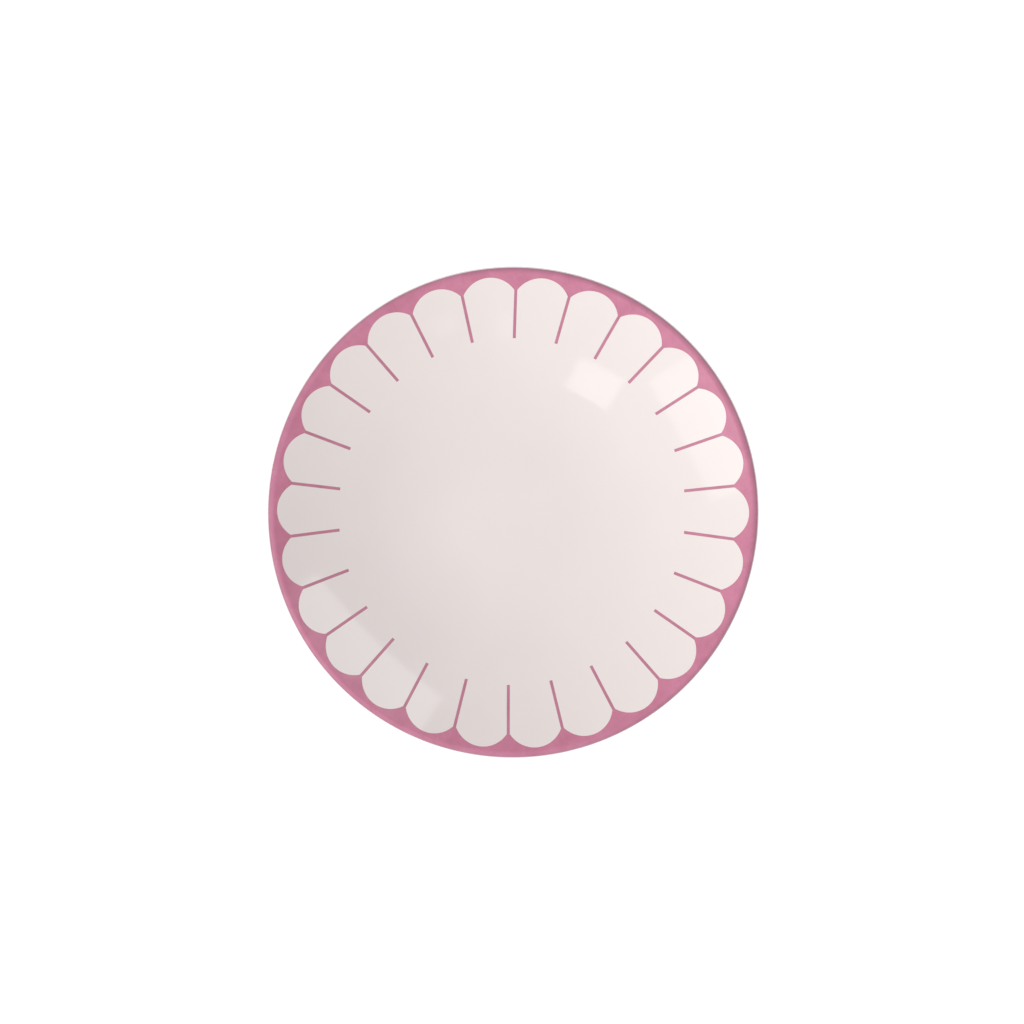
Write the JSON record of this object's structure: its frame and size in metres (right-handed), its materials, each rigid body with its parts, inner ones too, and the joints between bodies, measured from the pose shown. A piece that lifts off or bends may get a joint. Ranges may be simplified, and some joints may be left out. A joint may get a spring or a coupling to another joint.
{
  "type": "dessert plate",
  "caption": "Round coupe dessert plate in glazed porcelain on a bare foot ring, with a pink scalloped petal border printed in the glaze round its sloping wall.",
  "frame": {"origin": "on the plate's axis, in the plane of the foot ring's standing face", "axes": "+Z up along the plate's axis of revolution; +X to the right and +Y up as the picture shows the plate from above"},
  "size_m": [0.21, 0.21, 0.0287],
  "materials": {
    "bisque_porcelain": "fired, fine, matt",
    "white_glaze": "clear gloss glaze over white porcelain",
    "pink_print": "gloss, dusky pink fired into the glaze"
  },
  "bodies": {
    "root": {"porcelain_body": "bisque_porcelain", "face_glaze": "white_glaze", "outer_glaze": "white_glaze", "base_glaze": "white_glaze", "scallop_band": "pink_print", "petal_lines": "pink_print"}
  },
  "joints": []
}
